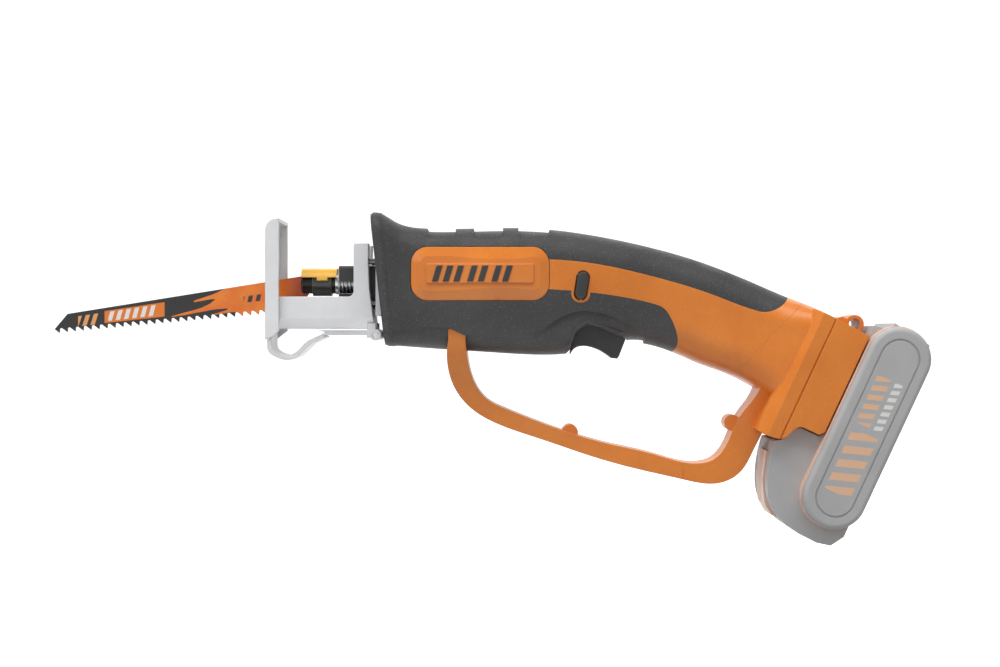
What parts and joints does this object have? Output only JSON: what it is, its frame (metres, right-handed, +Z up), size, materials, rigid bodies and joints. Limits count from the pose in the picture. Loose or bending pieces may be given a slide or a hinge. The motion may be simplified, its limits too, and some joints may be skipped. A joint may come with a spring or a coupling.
{
  "type": "reciprocating saw",
  "caption": "Cordless reciprocating saw with a D-guard handle, pivoting shoe, quick blade clamp and slide-on battery.",
  "frame": {"origin": "where the stroke axis meets the front face of the blade clamp, with the blade drawn back", "axes": "the blade points along -X, the battery is at the +X end, +Z is up, and the tool's left side, seen with the blade to the left, faces -Y"},
  "size_m": [0.457, 0.0748, 0.1723],
  "materials": {
    "grip_rubber": "soft speckled matt",
    "orange_shell": "fine textured",
    "badge_orange": "satin moulded",
    "guard_orange": "fine textured",
    "rear_orange": "fine textured",
    "button_dark": "matt moulded",
    "screw_steel": "dark plated",
    "front_dark": "matt moulded",
    "gearbox_alloy": "die cast",
    "bush_bronze": "sintered",
    "seal_felt": "oiled felt",
    "satin_metal": "satin silver",
    "hinge_steel": "plain",
    "spindle_steel": "ground",
    "blade_paint": "printed paint over steel",
    "collar_black": "black oxide",
    "spring_steel": "drawn wire",
    "lever_yellow": "satin moulded",
    "motor_steel": "zinc plated",
    "magnet_grey": "ferrite",
    "motor_nylon": "moulded",
    "brush_carbon": "carbon",
    "winding_copper": "lacquered copper over laminations",
    "switch_black": "moulded",
    "contact_brass": "plated",
    "battery_grey": "fine textured",
    "battery_trim": "satin",
    "cell_wrap": "shrink wrapped",
    "board_green": "solder mask"
  },
  "bodies": {
    "body": {"left_grip_overmould": "grip_rubber", "right_grip_overmould": "grip_rubber", "left_housing": "orange_shell", "right_housing": "orange_shell", "left_badge_panel": "badge_orange", "right_badge_panel": "badge_orange", "left_rear_housing": "rear_orange", "right_rear_housing": "rear_orange", "left_guard_bar": "guard_orange", "right_guard_bar": "guard_orange", "housing_screws": "screw_steel", "front_plate": "front_dark", "gearbox_case": "gearbox_alloy", "gearbox_cover": "gearbox_alloy", "spindle_bush": "bush_bronze", "spindle_seal": "seal_felt", "nose_guide": "front_dark", "shoe_bracket": "satin_metal", "bracket_screws": "screw_steel", "shoe_hinge_pin": "hinge_steel", "motor_can": "motor_steel", "motor_magnets": "magnet_grey", "motor_front_bearing": "motor_steel", "motor_end_cap": "motor_nylon", "motor_rear_bearing": "motor_steel", "motor_brushes": "brush_carbon", "switch_body": "switch_black", "trigger_spring": "spring_steel", "terminal_block": "switch_black", "terminal_blades": "contact_brass"},
    "stroke": {"spindle": "spindle_steel", "saw_blade": "blade_paint", "blade_clamp": "collar_black", "clamp_pin": "hinge_steel", "clamp_spring": "spring_steel"},
    "lever": {"clamp_lever": "lever_yellow"},
    "crank": {"crank_gear": "spindle_steel"},
    "rotor": {"motor_rotor": "winding_copper", "motor_pinion": "spindle_steel"},
    "shoe": {"pivoting_shoe": "satin_metal"},
    "trigger": {"trigger": "button_dark", "switch_plunger": "switch_black"},
    "lock_off": {"lock_off_button": "button_dark"},
    "battery": {"battery_core": "battery_grey", "left_battery_cap": "battery_grey", "right_battery_cap": "battery_grey", "left_battery_trim": "battery_trim", "right_battery_trim": "battery_trim", "battery_cells": "cell_wrap", "battery_board": "board_green"},
    "latch": {"battery_latch": "battery_trim"}
  },
  "joints": [
    {"name": "crank_spin", "type": "hinge", "parent": "body", "child": "crank", "pos_m": [0.068, 0, -0.012], "axis": [0, 0, 1], "range_deg": [0, 180]},
    {"name": "blade_stroke", "type": "slide", "parent": "body", "child": "stroke", "axis": [-1, 0, 0], "range_m": [0, 0.015]},
    {"name": "motor_spin", "type": "hinge", "parent": "body", "child": "rotor", "pos_m": [0.11, 0, 0], "axis": [1, 0, 0], "range_deg": [0, 720]},
    {"name": "lever_turn", "type": "hinge", "parent": "stroke", "child": "lever", "pos_m": [0.011, 0, 0], "axis": [1, 0, 0], "range_deg": [0, 60], "stiffness_Nm_per_rad": 0.05},
    {"name": "shoe_pivot", "type": "hinge", "parent": "body", "child": "shoe", "pos_m": [0.04, 0, -0.0274], "axis": [0, -1, 0], "range_deg": [0, 12]},
    {"name": "trigger_pull", "type": "slide", "parent": "body", "child": "trigger", "axis": [0, 0, 1], "range_m": [0, 0.005], "stiffness_N_per_m": 800, "springref_m": -0.002, "deforming": ["trigger_spring"]},
    {"name": "lock_off_press", "type": "slide", "parent": "body", "child": "lock_off", "axis": [0, 1, 0], "range_m": [0, 0.004], "stiffness_N_per_m": 500, "springref_m": -0.001},
    {"name": "battery_slide", "type": "slide", "parent": "body", "child": "battery", "axis": [-0.4226, 0, -0.9063], "range_m": [0, 0.07]},
    {"name": "latch_press", "type": "slide", "parent": "battery", "child": "latch", "axis": [0.9063, 0, -0.4226], "range_m": [0, 0.002], "stiffness_N_per_m": 1500, "springref_m": -0.001}
  ],
  "couplings": [
    {"joint": "crank_spin", "follows": "blade_stroke", "rad_per_m": 209.44},
    {"joint": "motor_spin", "follows": "blade_stroke", "rad_per_m": 837.76}
  ]
}
